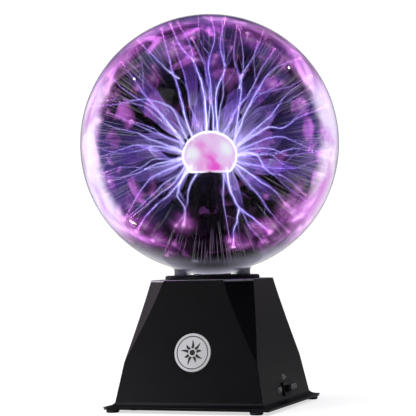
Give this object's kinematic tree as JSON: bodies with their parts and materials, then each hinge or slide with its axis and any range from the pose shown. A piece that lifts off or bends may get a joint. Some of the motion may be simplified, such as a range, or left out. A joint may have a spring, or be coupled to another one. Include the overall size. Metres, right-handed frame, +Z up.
{
  "type": "plasma ball",
  "caption": "Gas-filled glass globe with a central electrode on a faceted black pyramid base that holds a high-voltage driver, an off-on-audio slide switch and a round badge.",
  "frame": {"origin": "on the table, under the globe's axis and the middle of the square base", "axes": "+Z up along the globe's axis, -Y is the front with the badge, +X is the side with the slide switch"},
  "size_m": [0.1776, 0.1776, 0.2683],
  "materials": {
    "black_plastic": "fine-grained charcoal-black moulding",
    "black_rubber": "matt black",
    "clear_glass": "polished clear",
    "electrode_coating": "thin conductive film inside the electrode bulb, hidden by the discharge's pink-white glow",
    "steel_wool": "fine wool pad",
    "badge_silver": "satin silver-grey print",
    "bright_steel": "zinc-plated",
    "white_nylon": "natural nylon",
    "circuit_board": "single-sided paper-phenolic board",
    "ferrite": "sintered ferrite, stood in for by cast iron",
    "copper_winding": "enamelled copper wire, stood in for by brass",
    "coil_tape": "yellow polyester tape over the fine winding",
    "aluminium": "plain extruded or drawn",
    "component_black": "epoxy package",
    "capacitor_sleeve": "dark blue shrink sleeve",
    "film_capacitor_red": "dipped red",
    "resistor_body": "carbon film, tan",
    "phenolic": "brown phenolic wafer",
    "silicone_lead": "red silicone high-voltage insulation",
    "wire_black": "vinyl insulation",
    "wire_red": "vinyl insulation",
    "wire_yellow": "vinyl insulation"
  },
  "bodies": {
    "base": {"base_housing": "black_plastic", "bottom_plate": "black_plastic", "globe_collar": "black_plastic", "switch_bezel": "black_plastic", "power_jack": "black_plastic", "foot_front_left": "black_rubber", "foot_front_right": "black_rubber", "foot_rear_right": "black_rubber", "foot_rear_left": "black_rubber", "neck_gasket": "black_rubber", "stem_sleeve": "black_rubber", "microphone_grommet": "black_rubber", "glass_globe": "clear_glass", "stem_glass": "clear_glass", "electrode_lining": "electrode_coating", "contact_wool": "steel_wool", "front_badge": "badge_silver", "case_screw_front_left": "bright_steel", "case_screw_front_right": "bright_steel", "case_screw_rear_right": "bright_steel", "case_screw_rear_left": "bright_steel", "board_screw_front_left": "bright_steel", "board_screw_front_right": "bright_steel", "board_screw_rear_right": "bright_steel", "board_screw_rear_left": "bright_steel", "transistor_screw": "bright_steel", "switch_screw_front": "bright_steel", "switch_screw_rear": "bright_steel", "switch_frame": "bright_steel", "jack_pin": "bright_steel", "jack_nut": "bright_steel", "collar_retainer": "white_nylon", "neck_plug": "white_nylon", "transformer_bobbin": "white_nylon", "driver_board": "circuit_board", "ferrite_core_left": "ferrite", "ferrite_core_right": "ferrite", "primary_winding": "copper_winding", "high_voltage_winding": "coil_tape", "heatsink": "aluminium", "microphone_capsule": "aluminium", "power_transistor": "component_black", "timer_chip": "component_black", "capacitor_main": "capacitor_sleeve", "capacitor_timing": "capacitor_sleeve", "capacitor_filter": "capacitor_sleeve", "film_capacitor": "film_capacitor_red", "resistor_gate": "resistor_body", "resistor_bias": "resistor_body", "resistor_sense": "resistor_body", "switch_contacts": "phenolic", "high_voltage_lead": "silicone_lead", "switch_wire_off": "wire_black", "jack_wire_minus": "wire_black", "switch_wire_on": "wire_red", "jack_wire_plus": "wire_red", "switch_wire_audio": "wire_yellow"},
    "slider": {"switch_knob": "black_plastic"}
  },
  "joints": [
    {"name": "mode_switch_slide", "type": "slide", "parent": "base", "child": "slider", "axis": [0, 1, 0], "range_m": [-0.0032, 0.0032]}
  ]
}
